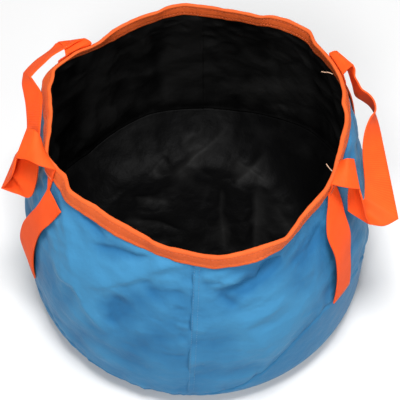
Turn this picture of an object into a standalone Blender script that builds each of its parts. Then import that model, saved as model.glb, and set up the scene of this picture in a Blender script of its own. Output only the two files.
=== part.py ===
"""Collapsible washbasin of coated cloth with two webbing handles, standing open.

The frame: metres, the origin at the centre of the base on the floor, +X to the right, +Y to the
back, +Z up. Angles go round from +X towards +Y. The wall is a surface over an angle and a height;
every layer, tape and strap is that surface moved out or in by its own place in the stack.
"""

import math

import bmesh
import bpy
from mathutils import Matrix, Vector

# Overall sizes
HEIGHT = 0.210
RIM_R = 0.1285
RIM_BACK = 0.008  # the rim's centre lies this far behind the base's centre
BELLY_R = 0.158
BELLY_Z = 0.075
LEAN_POWER = 1.7  # how late the wall turns in towards the rim

# The rounded edge of the base, an arc of an ellipse from the floor up to the base seam
BASE_FLAT_R = 0.138
CURL_W = 0.021
CURL_H = 0.022
SEAM_Z = 0.038

# Cloth and tape
GAP = 0.0003
CLOTH_T = 0.0008
TAPE_T = 0.0012
TAPE_DROP = 0.016  # how far the folded tape comes down on each side
WEB_W = 0.025
WEB_T = 0.0014
THREAD_T = 0.0006

# Seams and mesh steps
STEPS = 72
STEP = 2 * math.pi / STEPS
SEAM_ANGLE = math.radians(-92.5)
WALL_ROWS = 9
CURL_ROWS = 4

# The uneven rim: number of waves, height of a wave in metres, where it is highest in degrees
RIM_WAVES = (
    (1, 0.0019, -10.0),
    (3, 0.0062, 46.0),
    (4, 0.0026, 9.0),
    (6, 0.0026, -19.0),
    (7, 0.0019, 0.0),
    (8, 0.0009, 21.0),
)
# Soft folds of the outer wall: waves round, turn of the fold on the way up in degrees, height
WALL_FOLDS = ((5, 110.0, 0.0016), (9, -150.0, 0.0011))
LINING_FOLD = 0.0052
LINING_FOLDS_ROUND = 12
LINING_LOOSE_AT = math.radians(150.0)

# Where a handle is sewn on and where its tail ends, in degrees, and how far over the base seam
ROOTS = {
    "right_back": (28.5, 29.0, 0.0012),
    "right_front": (-27.0, -37.0, 0.0530),
    "left_back": (142.0, 148.0, 0.0012),
    "left_front": (-156.5, -158.5, 0.0012),
}
TAIL_STAND_OFF = 0.007  # how far the middle of a tail stands off the wall
TACK_W = 0.022  # a bar of thread across a strap
TACK_H = 0.003
TACK_ABOVE_END = 0.002  # how far over a tail's end its bar of thread is
RIM_TACK_DOWN = 0.010  # how far under the rim's edge a root's bar of thread starts

# The middle line of each handle: the share of the way from its back root to its front root, then
# how far out and how far up from the line between them, in millimetres. Beside it is the way the
# strap's width points there: along, out and up.
RIGHT_LINE = (
    ((0.12, 14, 7), (-8, 3, -4)),
    ((0.24, 21, 6), (-5, 5, -7)),
    ((0.36, 27, 0), (-3, 9, -2)),
    ((0.47, 36, -7), (2, 9, -3)),
    ((0.61, 40, -19), (3, 9, -4)),
    ((0.76, 42, -31), (2, 9, -3)),
    ((0.90, 45, -43), (1, 10, -2)),
    ((1.01, 47, -52), (-3, 10, 0)),
    ((1.06, 42, -54), (-4, 9, 2)),
    ((1.02, 31, -36), (-4, 8, 5)),
    ((1.00, 20, -12), (-9, 3, 2)),
)
LEFT_LINE = (
    ((0.05, 18, 6), (-8, 3, -6)),
    ((0.17, 30, 6), (-4, 4, -8)),
    ((0.29, 37, 1), (-2, 5, -9)),
    ((0.43, 36, -1), (1, 5, -8)),
    ((0.58, 32, -4), (1, 5, -8)),
    ((0.71, 30, -8), (2, 7, -6)),
    ((0.83, 31, -15), (2, 9, -2)),
    ((0.91, 33, -27), (-1, 10, -1)),
    ((0.97, 39, -40), (-3, 9, -3)),
    ((1.00, 42, -46), (-5, 5, -7)),
    ((1.02, 34, -43), (-4, 2, -9)),
    ((1.04, 23, -23), (-8, -3, -6)),
    ((1.04, 18, -5), (-9, -2, -3)),
)
HANDLE_UNIT = 0.001
HANDLE_STEPS = 30
HANDLE_UP = 0.004  # a handle first rises from its root this far, and goes out this far
HANDLE_OUT = 0.008
AXIS_LIFT = 0.0011  # the hinge lies this far over the rim's top edge

# Photo colours in linear values, and roughness
BLUE = (0.062, 0.257, 0.508)
BLACK = (0.008, 0.008, 0.009)
ORANGE = (0.760, 0.105, 0.018)
THREAD = (0.610, 0.095, 0.020)


def smooth(t):
    """A soft step from 0 to 1."""
    t = min(max(t, 0.0), 1.0)
    return t * t * (3.0 - 2.0 * t)


def rise(z):
    """The share of the way from the belly to the rim."""
    return min(max((z - BELLY_Z) / (HEIGHT - BELLY_Z), 0.0), 1.0)


def up_the_wall(z):
    """The share of the way from the base seam to the lower edge of the tape."""
    return min(max((z - SEAM_Z) / (HEIGHT - TAPE_DROP - SEAM_Z), 0.0), 1.0)


def seam_radius():
    """The radius at which the rounded base meets the wall."""
    return BASE_FLAT_R + CURL_W * math.cos(math.asin((SEAM_Z - CURL_H) / CURL_H))


def wall_radius(angle, z):
    """The outer face of the wall at an angle and height, from the wall's own middle."""
    lift = rise(z)
    if z < BELLY_Z:
        turn = math.sin(0.5 * math.pi * (z - SEAM_Z) / (BELLY_Z - SEAM_Z))
        radius = seam_radius() + (BELLY_R - seam_radius()) * turn
    else:
        radius = BELLY_R - (BELLY_R - RIM_R) * lift ** LEAN_POWER
    for count, high, at in RIM_WAVES:
        radius += high * math.cos(count * (angle - math.radians(at))) * lift ** 2
    share = up_the_wall(z)
    for count, turn, high in WALL_FOLDS:
        wave = math.sin(count * angle + math.radians(turn) * share)
        radius += high * wave * math.sin(math.pi * share)
    return radius


def lining_fold(angle, z):
    """How far the loose lining stands in from the wall."""
    share = up_the_wall(z)
    loose = 0.30 + 0.70 * max(0.0, math.cos(0.5 * (angle - LINING_LOOSE_AT))) ** 2
    wave = 0.5 + 0.5 * math.sin(LINING_FOLDS_ROUND * angle + 1.2 * math.sin(3.0 * share))
    return LINING_FOLD * loose * wave * math.sin(math.pi * share)


def wall_point(angle, z, out=0.0):
    """A point at an angle and height, moved out from the wall's outer face."""
    radius = wall_radius(angle, z) + out
    back = RIM_BACK * smooth((z - SEAM_Z) / (HEIGHT - SEAM_Z))
    return Vector((radius * math.cos(angle), back + radius * math.sin(angle), z))


def material(name, color, roughness):
    """A plain Principled material."""
    made = bpy.data.materials.new(name)
    made.use_nodes = True
    shader = made.node_tree.nodes["Principled BSDF"]
    shader.inputs["Base Color"].default_value = (*color, 1.0)
    shader.inputs["Roughness"].default_value = roughness
    shader.inputs["Metallic"].default_value = 0.0
    return made


def empty(name, place):
    """A plain empty that stands on a joint's axis."""
    made = bpy.data.objects.new(name, None)
    made.location = place
    bpy.context.collection.objects.link(made)
    return made


def solid(name, shape, color, roughness, parent=None, origin=(0.0, 0.0, 0.0)):
    """An object from a closed shape in world place, with its own origin and its faces out."""
    place = Vector(origin)
    held = Vector((0.0, 0.0, 0.0)) if parent is None else Vector(parent.location)
    bmesh.ops.recalc_face_normals(shape, faces=shape.faces)
    if shape.calc_volume(signed=True) < 0.0:
        bmesh.ops.reverse_faces(shape, faces=shape.faces)
    bmesh.ops.translate(shape, verts=shape.verts, vec=-place)
    mesh = bpy.data.meshes.new(name)
    shape.to_mesh(mesh)
    shape.free()
    mesh.materials.append(material(name + "_look", color, roughness))
    made = bpy.data.objects.new(name, mesh)
    made.location = place - held
    made.parent = parent
    bpy.context.collection.objects.link(made)
    return made


def cell_of(vert, rows, columns):
    """The row and column of a point of the flat grid, which is 2 wide and 2 high."""
    row = round((vert.co.y + 1.0) * 0.5 * (rows - 1))
    column = round((vert.co.x + 1.0) * 0.5 * (columns - 1))
    return row, column


def sheet(rows, columns, face, back):
    """A closed thin body: a grid that is pulled out to its back; both give a point for a cell."""
    shape = bmesh.new()
    bmesh.ops.create_grid(shape, x_segments=columns - 1, y_segments=rows - 1, size=1.0)
    for cell in list(shape.faces):
        corners = sorted(cell.verts, key=lambda v: cell_of(v, rows, columns))
        bmesh.utils.face_split(cell, corners[0], corners[3])
    front = {v: cell_of(v, rows, columns) for v in shape.verts}
    pulled = bmesh.ops.extrude_face_region(shape, geom=shape.faces[:], use_keep_orig=True)
    behind = {v: cell_of(v, rows, columns) for v in pulled["geom"]
              if isinstance(v, bmesh.types.BMVert)}
    for places, where in ((front, face), (behind, back)):
        for vert, (row, column) in places.items():
            vert.co = where(row, column)
    return shape


def patch(name, angles, heights, inner, outer, color, roughness, parent=None, shift=None):
    """A sheet that lies on the wall between two faces, which are given as how far out they lie."""
    def spot(row, column, face):
        z = heights[row]
        angle = angles[column] + (shift(z) if shift else 0.0)
        return wall_point(angle, z, face(angle, z))
    shape = sheet(len(heights), len(angles),
                  lambda r, c: spot(r, c, outer), lambda r, c: spot(r, c, inner))
    return solid(name, shape, color, roughness, parent)


def wall_heights():
    """The rows of a wall panel from the base seam up into the tape."""
    low, high = SEAM_Z + GAP, HEIGHT - TAPE_DROP
    rows = [low + (high - low) * i / (WALL_ROWS - 1) for i in range(WALL_ROWS)]
    return rows + [HEIGHT - 0.5 * TAPE_DROP, HEIGHT - TAPE_T - GAP]


def half_round(start, reach):
    """The angles of half the wall, with half a gap left at each seam."""
    slack = 0.5 * GAP / reach
    angles = [start + STEP * i for i in range(STEPS // 2 + 1)]
    angles[0] += slack
    angles[-1] -= slack
    return angles


def wall_panels():
    """The two outer and the two lining panels, sewn to each other at the front and the back."""
    skin = CLOTH_T + GAP
    for side, start in (("right", SEAM_ANGLE), ("left", SEAM_ANGLE + math.pi)):
        angles = half_round(start, RIM_R)
        patch("outer_wall_" + side, angles, wall_heights(),
              lambda a, z: -CLOTH_T, lambda a, z: 0.0, BLUE, 0.55)
        patch("lining_wall_" + side, angles, wall_heights(),
              lambda a, z: -skin - CLOTH_T - lining_fold(a, z),
              lambda a, z: -skin - lining_fold(a, z), BLACK, 0.60)


def curl_profile(depth):
    """The rounded edge of the base in the XZ plane, a depth inside its outer face."""
    top = math.asin((SEAM_Z - CURL_H) / CURL_H)
    line = []
    for i in range(CURL_ROWS + 1):
        turn = -0.5 * math.pi + (top + 0.5 * math.pi) * i / CURL_ROWS
        out = Vector((math.cos(turn) / CURL_W, 0.0, math.sin(turn) / CURL_H)).normalized()
        edge = Vector((BASE_FLAT_R + CURL_W * math.cos(turn), 0.0, CURL_H * (1 + math.sin(turn))))
        line.append(edge - depth * out)
    return line


def base_panel(name, depth, color, roughness):
    """One round base sheet, flat on the floor and rounded up to the base seam."""
    shape = bmesh.new()
    line = curl_profile(depth) + curl_profile(depth + CLOTH_T)[::-1]
    turn = Matrix.Rotation(SEAM_ANGLE, 4, "Z")
    verts = [shape.verts.new(turn @ p) for p in line]
    edges = [shape.edges.new(pair) for pair in zip(verts, verts[1:])]
    bmesh.ops.spin(shape, geom=verts + edges, cent=(0, 0, 0), axis=(0, 0, 1),
                   angle=2 * math.pi, steps=STEPS, use_merge=True)
    bmesh.ops.remove_doubles(shape, verts=shape.verts, dist=0.00001)
    bmesh.ops.holes_fill(shape, edges=[e for e in shape.edges if e.is_boundary], sides=0)
    return solid(name, shape, color, roughness)


def tape_section():
    """The folded tape's section as pairs of how far out and how high."""
    foot, middle, under = HEIGHT - TAPE_DROP, HEIGHT - 0.5 * TAPE_DROP, HEIGHT - TAPE_T
    inside = -2 * CLOTH_T - 2 * GAP
    outside = GAP
    half = 0.35 * TAPE_T
    return [
        (outside + TAPE_T, foot), (outside + TAPE_T, middle), (outside + TAPE_T, under),
        (outside + TAPE_T - half, HEIGHT), (inside - TAPE_T + half, HEIGHT),
        (inside - TAPE_T, under), (inside - TAPE_T, middle), (inside - TAPE_T, foot),
        (inside, foot), (inside, middle), (inside, under),
        (outside, under), (outside, middle), (outside, foot),
    ]


def binding(parent):
    """The tape that is folded over the rim, one closed ring of a section carried round."""
    shape = bmesh.new()
    section = tape_section()
    angles = [SEAM_ANGLE + STEP * i for i in range(STEPS)]
    rings = [[shape.verts.new(wall_point(a, z, out)) for a in angles] for out, z in section]
    for i, here in enumerate(rings):
        there = rings[(i + 1) % len(rings)]
        rising = section[(i + 1) % len(rings)][1] >= section[i][1]
        for c in range(STEPS):
            d = (c + 1) % STEPS
            cell = shape.faces.new((here[c], here[d], there[d], there[c]))
            ends = (here[c], there[d]) if rising else (there[c], here[d])
            bmesh.utils.face_split(cell, *ends)
    return solid("rim_binding", shape, ORANGE, 0.75, parent, (0.0, RIM_BACK, HEIGHT))


def web_angles(middle, width=WEB_W, steps=4, reach=RIM_R):
    """Angles across a strap of a given width, at a radius."""
    half = 0.5 * width / reach
    return [middle - half + 2 * half * i / steps for i in range(steps + 1)]


def root(name, middle, parent):
    """The sewn part of a strap over the tape, and its row of thread."""
    inner = GAP + TAPE_T + GAP
    outer = inner + WEB_T
    rows = [HEIGHT - TAPE_DROP, HEIGHT - 0.5 * TAPE_DROP, HEIGHT]
    patch(name + "_root", web_angles(middle), rows,
          lambda a, z: inner, lambda a, z: outer, ORANGE, 0.80, parent)
    low = HEIGHT - RIM_TACK_DOWN
    patch(name + "_rim_tack", web_angles(middle, TACK_W), [low, low + TACK_H],
          lambda a, z: outer + GAP, lambda a, z: outer + GAP + THREAD_T, THREAD, 0.70, parent)


def tail(name, top, end, over_seam):
    """The strap below the rim: it stands free of the wall and is sewn down at its end."""
    high, low = HEIGHT - TAPE_DROP - GAP, SEAM_Z + over_seam
    foot = low + TACK_ABOVE_END
    bar = [foot + TACK_H, foot]
    rows = 8
    heights = [high + (bar[0] - high) * i / rows for i in range(rows)] + bar + [low]
    start, finish = 2 * GAP + TAPE_T, 2 * GAP
    def share(z):
        return min(max((high - z) / (high - low), 0.0), 1.0)
    def inner(_a, z):
        t = share(z)
        return start + (finish - start) * t + TAIL_STAND_OFF * math.sin(math.pi * t) ** 1.2
    def outer(a, z):
        return inner(a, z) + WEB_T
    def shift(z):
        return (end - top) * share(z)
    reach = 0.5 * (RIM_R + BELLY_R)
    patch(name + "_tail", web_angles(top, reach=reach), heights, inner, outer, ORANGE, 0.80,
          shift=shift)
    patch(name + "_base_tack", web_angles(top, TACK_W, reach=reach), bar[::-1],
          lambda a, z: outer(a, z) + GAP, lambda a, z: outer(a, z) + GAP + THREAD_T, THREAD, 0.70,
          shift=shift)


def root_top(middle):
    """Where a handle leaves its root, on the hinge."""
    point = wall_point(middle, HEIGHT, 2 * GAP + TAPE_T + 0.5 * WEB_T)
    point.z = HEIGHT + AXIS_LIFT
    return point


def spline(values, t):
    """A smooth line through vectors, t from 0 to 1."""
    place = t * (len(values) - 1)
    i = min(int(place), len(values) - 2)
    f = place - i
    a, b, c, d = (values[min(max(i + k, 0), len(values) - 1)] for k in (-1, 0, 1, 2))
    return 0.5 * (2 * b + (c - a) * f + (2 * a - 5 * b + 4 * c - d) * f * f
                  + (3 * b - a - 3 * c + d) * f * f * f)


def handle_line(line, start, finish):
    """A handle's points and width directions in the frame's own axes, roots included."""
    along = (finish - start).normalized()
    up = Vector((0.0, 0.0, 1.0))
    out = along.cross(up)
    if out.x * start.x < 0.0:
        out = -out
    lean = out * HANDLE_OUT + up * HANDLE_UP
    places = [start, start + lean]
    widths = [-along, -along]
    for (share, aside, above), (w_along, w_out, w_up) in line:
        places.append(start + (finish - start) * share + (out * aside + up * above) * HANDLE_UNIT)
        widths.append((along * w_along + out * w_out + up * w_up).normalized())
    return places + [finish + lean, finish], widths + [-along, -along]


def handle(name, line, back, front, parent):
    """One webbing handle as a twisted flat strap, turning about the line through its roots."""
    start, finish = root_top(math.radians(back)), root_top(math.radians(front))
    places, widths = handle_line(line, start, finish)
    def spot(row, column, side):
        t = row / HANDLE_STEPS
        ahead = spline(places, min(t + 0.01, 1.0)) - spline(places, max(t - 0.01, 0.0))
        ahead.normalize()
        wide = spline(widths, t)
        if 0 < row < HANDLE_STEPS:
            wide = wide - ahead * wide.dot(ahead)
        wide.normalize()
        thick = ahead.cross(wide).normalized()
        across = wide * (WEB_W * (column - 0.5))
        return spline(places, t) + across + thick * (0.5 * WEB_T * side)
    shape = sheet(HANDLE_STEPS + 1, 2, lambda r, c: spot(r, c, 1.0), lambda r, c: spot(r, c, -1.0))
    return solid(name, shape, ORANGE, 0.80, parent, 0.5 * (start + finish))


def build():
    """Makes every piece."""
    for old in list(bpy.data.objects):
        bpy.data.objects.remove(old, do_unlink=True)
    base_panel("outer_base", 0.0, BLUE, 0.55)
    base_panel("lining_base", CLOTH_T + GAP, BLACK, 0.60)
    wall_panels()
    rim = empty("rim_axis", (0.0, RIM_BACK, HEIGHT))
    binding(rim)
    for name, (top, end, over_seam) in ROOTS.items():
        root(name, math.radians(top), rim)
        tail(name, math.radians(top), math.radians(end), over_seam)
    handle("right_handle", RIGHT_LINE, ROOTS["right_back"][0], ROOTS["right_front"][0], rim)
    handle("left_handle", LEFT_LINE, ROOTS["left_back"][0], ROOTS["left_front"][0], rim)


build()
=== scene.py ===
"""Looks of the collapsible washbasin: coated cloth, taped rim, webbing handles and their stitches.

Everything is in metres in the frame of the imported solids: the origin at the centre of the base on
the floor, +X to the right, +Y to the back, +Z up. A place on the body is an angle round it in
degrees, from +X towards +Y, and a height; folds are given in degrees and millimetres.
"""

import logging
import math
from dataclasses import dataclass
from enum import Enum
from typing import Callable, Sequence

import bmesh
import bpy
import numpy as np
from mathutils import Matrix, Vector


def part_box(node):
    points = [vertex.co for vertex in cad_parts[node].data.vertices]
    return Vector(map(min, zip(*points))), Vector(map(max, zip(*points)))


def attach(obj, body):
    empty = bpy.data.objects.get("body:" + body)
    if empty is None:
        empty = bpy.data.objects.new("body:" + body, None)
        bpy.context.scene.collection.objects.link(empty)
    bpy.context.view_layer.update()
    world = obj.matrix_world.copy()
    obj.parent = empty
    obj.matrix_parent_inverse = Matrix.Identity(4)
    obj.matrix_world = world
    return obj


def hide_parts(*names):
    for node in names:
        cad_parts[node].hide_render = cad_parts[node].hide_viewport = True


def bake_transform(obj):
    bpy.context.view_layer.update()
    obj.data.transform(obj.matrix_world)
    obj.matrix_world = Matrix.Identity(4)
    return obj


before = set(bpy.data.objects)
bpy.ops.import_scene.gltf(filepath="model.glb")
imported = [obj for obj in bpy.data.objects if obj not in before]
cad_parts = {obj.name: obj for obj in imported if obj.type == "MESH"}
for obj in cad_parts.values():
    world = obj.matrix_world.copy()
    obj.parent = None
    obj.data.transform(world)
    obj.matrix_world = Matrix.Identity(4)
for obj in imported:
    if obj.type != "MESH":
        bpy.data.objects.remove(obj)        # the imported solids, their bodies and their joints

LOG = logging.getLogger("washbasin")
MM = 0.001
Array = np.ndarray
Colour = tuple[float, float, float]
Point = tuple[float, float, float]
Spot = tuple[float, float]
Place = Callable[[Array, Array], Array]
CLOTH_MAP = "cloth"  # the UV map of every sewn piece, in metres along and across the cloth
CREST = "crest"  # how far a place of the cloth stands out of its neighbourhood, in metres, less painted shade on the lining; the finish paints crests lighter and hollows darker as painted highlight and painted shade
ROUNDING = np.linspace(-1.2, 1.2, 5)  # degrees over which a table's corners are rounded
MM_A_DEGREE = 2.6  # millimetres along the wall for each degree round it
LATTICE = np.random.RandomState(5).permutation(256)
LATTICE_WAYS = np.random.RandomState(6).normal(size=(256, 3))
LATTICE_WAYS /= np.linalg.norm(LATTICE_WAYS, axis=1)[:, None]

# The rim's outline from above: degrees and the radius in millimetres
RIM_OUTLINE: tuple[Spot, ...] = (
    (-173, 124), (-162, 130.5), (-150, 123), (-144, 128), (-132, 122), (-117, 123.5),
    (-108, 127), (-105, 130), (-93, 134.5), (-84, 140), (-66, 139), (-60, 140.5), (-51, 131),
    (-46, 129), (-30, 127), (-20, 123.5), (-11, 123), (-5, 125), (2, 126.5), (7, 125),
    (12, 129), (20, 132), (39, 133.5), (44, 140), (53, 138), (60, 134), (64, 128), (78, 126),
    (89, 128.5), (95, 131.5), (103, 129), (106, 126), (127, 123), (135, 120), (140, 122),
    (145, 128), (151, 131), (157, 135), (161, 131.5), (166, 131), (170, 127), (178, 123),
)
# How far the tape's foot is drawn in from the wall's own slope: degrees and millimetres
FOOT_PULL: tuple[Spot, ...] = (
    (-175, 2), (-165, 2.5), (-150, 1), (-120, 1), (-114, 2.5), (-106, 3.5), (-90, 1.8),
    (-70, 0.5), (-62, 2), (-58, 4), (-51, 3.5), (-45, 5), (-33, 4), (-16, 5), (-7, 4), (1, 2),
    (7, 0), (20, 0), (40, 2), (60, 3), (90, 3), (125, 3), (140, -2), (150, -5), (160, -5),
    (167, 0), (178, 2),
)
# The seam between base and wall: degrees and millimetres above the floor
BASE_SEAM: tuple[Spot, ...] = (
    (-170.0, 50.0), (-158.0, 45.0), (-145.0, 34.0), (-130.0, 24.0), (-105.0, 17.0),
    (-90.0, 19.0), (-75.0, 30.0),
    (-67.0, 48.0), (-56.0, 78.0), (-45.0, 91.0), (-31.0, 86.0), (0.0, 76.0), (30.0, 66.0),
    (45.0, 62.0), (60.0, 50.0), (75.0, 41.0), (90.0, 38.0), (108.0, 39.0), (120.0, 32.0),
    (135.0, 23.0), (150.0, 30.0), (165.0, 44.0), (180.0, 51.0),
)


class Side(Enum):
    """The two halves of the basin."""

    RIGHT = "right"
    LEFT = "left"


class Slot(Enum):
    """The material slots."""

    OUTER = "outer_cloth"
    LINING = "lining_cloth"
    TAPE = "binding_tape"
    WEBBING = "webbing"
    THREAD = "thread"


def smooth(share: Array) -> Array:
    """Gives a soft step from 0 to 1.

    Args:
        share: values that are cut to 0 to 1 first.

    Returns:
        The eased values.
    """
    share = np.clip(share, 0.0, 1.0)
    return share * share * (3.0 - 2.0 * share)


def carried(points: Array, share: Array, sharp: tuple[int, ...] = ()) -> Array:
    """Reads a smooth line through points.

    Args:
        points: the line's points, one row each.
        share: where to read, from 0 at the first point to 1 at the last.
        sharp: the rows at which the line has a corner.

    Returns:
        One row for each share.
    """
    place = np.clip(share, 0.0, 1.0) * (len(points) - 1)
    start = np.minimum(place.astype(int), len(points) - 2)
    f = (place - start)[:, None]
    a, b, c, d = (points[np.clip(start + k, 0, len(points) - 1)] for k in (-1, 0, 1, 2))
    a = np.where(np.isin(start, sharp)[:, None], 2 * b - c, a)
    d = np.where(np.isin(start + 1, sharp)[:, None], 2 * c - b, d)
    return 0.5 * (2 * b + (c - a) * f + (2 * a - 5 * b + 4 * c - d) * f * f
                  + (3 * b - a - 3 * c + d) * f ** 3)


def round_table(table: Sequence[Spot], angle: Array) -> Array:
    """Reads a smooth closed outline.

    Args:
        table: pairs of an angle in degrees, rising, and a value.
        angle: angles in radians.

    Returns:
        The value at each angle.
    """
    at = np.array([a for a, _ in table])
    at = np.concatenate([at - 360.0, at, at + 360.0])
    value = np.tile([v for _, v in table], 3)
    degrees = (np.degrees(angle) + 180.0) % 360.0 - 180.0
    return np.mean([np.interp(degrees + off, at, value) for off in ROUNDING], axis=0)


def soft_noise(points: Array, scale: float, octaves: int, seed: float) -> Array:
    """Gives soft noise at points.

    Args:
        points: one row for each point, in metres.
        scale: waves per metre.
        octaves: how many finer waves are added.
        seed: moves the pattern.

    Returns:
        Values of about -1 to 1.
    """
    place = points * scale + np.array([seed, 2.7 * seed, 0.3 * seed]) + 37.0
    total = np.zeros(len(points))
    for octave in range(octaves):
        cell = np.floor(place).astype(int)
        inside = place - cell
        fade = inside ** 3 * (inside * (inside * 6.0 - 15.0) + 10.0)
        for corner in np.ndindex(2, 2, 2):
            key = LATTICE[(cell[:, 0] + corner[0]) & 255]
            key = LATTICE[(key + cell[:, 1] + corner[1]) & 255]
            key = LATTICE[(key + cell[:, 2] + corner[2]) & 255]
            share = np.prod(np.where(corner, fade, 1.0 - fade), axis=1)
            total += share * np.sum(LATTICE_WAYS[key] * (inside - corner), axis=1) / 2 ** octave
        place = place * 2.0 + 11.3
    return 1.6 * total


@dataclass(frozen=True)
class Fold:
    """A ridge or valley of the cloth along a line on the body."""

    line: tuple[Spot, ...]  # degrees, millimetres up
    high: float  # millimetres out; below zero is a valley
    reach: Spot  # how wide it is on the left and on the right of the line, in millimetres
    blunt: float = 1.2  # the width of its rounded top
    turn: float = MM_A_DEGREE  # millimetres along the map for each degree or unit of the line
    fade: float = 0.3  # the share of its length over which each end dies out
    stump: float = 0.15  # how much of that dying out an end leaves standing

    def lift(self, angle: Array, height: Array) -> Array:
        """Gives how far the fold moves the cloth out.

        Args:
            angle: angles in radians.
            height: heights in metres.

        Returns:
            The lift in metres.
        """
        middle = 0.5 * (self.line[0][0] + self.line[-1][0])
        degrees = (np.degrees(angle) - middle + 180.0) % 360.0 - 180.0 + middle
        return self.over(degrees * self.turn, height / MM)

    def over(self, u: Array, v: Array) -> Array:
        """Gives the lift over a flat map of the cloth.

        Args:
            u: millimetres along it.
            v: millimetres across it.

        Returns:
            The lift in metres.
        """
        nearest = np.full(np.shape(u), np.inf)
        aside = np.zeros_like(u)
        along = np.zeros_like(u)
        spots = [(a * self.turn, h) for a, h in self.line]
        lengths = [math.dist(a, b) for a, b in zip(spots, spots[1:])]
        done = 0.0
        for (u0, v0), (u1, v1), length in zip(spots, spots[1:], lengths):
            du, dv = (u1 - u0) / length, (v1 - v0) / length
            ahead = (u - u0) * du + (v - v0) * dv
            off = (v - v0) * du - (u - u0) * dv
            over = ahead - np.clip(ahead, 0.0, length)
            away = np.hypot(off, over)
            closer = away < nearest
            nearest = np.where(closer, away, nearest)
            aside = np.where(closer, np.where(off >= 0.0, away, -away), aside)
            along = np.where(closer, (done + np.clip(ahead, 0.0, length)) / sum(lengths), along)
            done += length
        width = np.where(aside > 0.0, self.reach[0], self.reach[1])
        ridge = np.exp(-(np.sqrt(aside ** 2 + self.blunt ** 2) - self.blunt) / width)
        ends = (smooth(along / self.fade + self.stump)
                * smooth((1.0 - along) / self.fade + self.stump))
        return self.high * MM * ridge * ends


# Folds of the outer wall that the photograph shows, front left to front right
SHOWN_FOLDS: tuple[Fold, ...] = (
    Fold(((-141.8, 197), (-123.2, 188)), -2.4, (4.0, 3.0)),
    Fold(((-145.0, 192), (-131.5, 133)), 3.9, (9.0, 16.0), 2.0),
    Fold(((-145.5, 121), (-133.0, 129), (-119.0, 92)), 3.6, (16.0, 7.0), 1.6),
    Fold(((-149.5, 56), (-134.5, 30)), 1.8, (8.0, 8.0), 2.0),
    Fold(((-114.8, 146), (-118.5, 104)), -3.0, (7.0, 9.0), 1.5),
    Fold(((-131.8, 132), (-116.7, 157), (-102.8, 187), (-95.0, 197)), 4.8, (20.0, 8.0), 2.2),
    Fold(((-130.5, 176), (-125.7, 178), (-120.2, 183), (-111.2, 186), (-102.8, 195)),
         -3.3, (3.5, 6.0), 1.0),
    Fold(((-121.0, 146), (-103.2, 174)), -2.0, (5.0, 6.0)),
    Fold(((-108.5, 159), (-92.2, 167)), -1.7, (4.0, 6.0)),
    Fold(((-89.2, 189), (-74.2, 172)), 3.0, (6.0, 8.0), 1.2),
    Fold(((-85.2, 169), (-74.2, 170), (-66.8, 178), (-60.8, 185)), -3.6, (7.0, 4.0), 1.0),
    Fold(((-83.0, 168), (-77.5, 149)), -1.8, (5.0, 5.0)),
    Fold(((-89.0, 177), (-81.2, 180)), -1.8, (4.0, 4.0)),
    Fold(((-60.8, 187), (-70.8, 174)), -3.0, (3.5, 3.5), 0.8),
    Fold(((-65.0, 190), (-69.8, 176)), -2.1, (3.0, 3.0), 0.8),
    Fold(((-70.8, 174), (-79.5, 171)), -1.8, (5.0, 4.0)),
    Fold(((-56.0, 152), (-74.5, 125), (-68.0, 83), (-68.5, 56)), 3.9, (26.0, 12.0), 3.0),
    Fold(((-38.5, 179), (-47.8, 171), (-59.0, 170)), -2.0, (6.0, 6.0), 1.5),
    Fold(((-98.0, 148), (-92.0, 149)), -0.7, (3.0, 3.0)),
    Fold(((-97.0, 130), (-92.0, 129)), 1.0, (4.0, 3.5)),
    Fold(((-96.0, 118), (-92.5, 116)), -0.7, (3.0, 3.0)),
    Fold(((-96.2, 106), (-92.8, 110)), 0.7, (3.0, 3.0)),
    Fold(((-101.2, 88), (-92.5, 90)), -0.9, (3.5, 4.0)),
    Fold(((-91.2, 128), (-87.2, 123)), 0.7, (3.0, 3.5)),
    Fold(((-91.5, 74), (-87.5, 77)), -0.7, (3.0, 3.0)),
)


# Creases of the lining's floor: millimetres to the right and to the back of the base's middle
FLOOR_FOLDS: tuple[Fold, ...] = tuple(Fold(*row, turn=1.0) for row in (
    (((-25, 93), (9, 126)), 2.4, (5.0, 9.0), 1.0),
    (((-12, 108), (35, 142)), 2.6, (4.0, 8.0), 1.0),
    (((-20, 126), (10, 142)), 2.0, (4.0, 6.0), 1.0),
    (((-48, 96), (-30, 118)), 1.8, (5.0, 6.0), 1.0),
    (((37, 113), (73, 84)), 2.6, (4.0, 6.0), 0.8),
    (((36, 84), (72, 113)), 2.2, (4.0, 5.0), 0.8),
    (((26, 88), (24, 50), (29, 2)), 2.6, (12.0, 4.0), 1.2),
    (((44, 90), (46, 6)), -2.0, (5.0, 8.0), 1.2),
    (((61, 81), (60, 50), (56, 2)), 2.8, (12.0, 4.0), 1.2),
    (((-68, 69), (-22, 63)), 2.2, (3.0, 8.0), 0.8),
    (((-80, 40), (-42, 39), (-12, 28)), 2.0, (3.0, 8.0), 0.8),
    (((-60, 8), (-25, 18)), 1.8, (4.0, 7.0), 1.0),
    (((78, 60), (98, 20)), 2.0, (8.0, 5.0), 1.0),
    (((-10, -30), (30, -52)), 1.8, (6.0, 6.0), 1.2),
    (((-70, -20), (-40, -62)), 1.8, (6.0, 8.0), 1.2),
))
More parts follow.
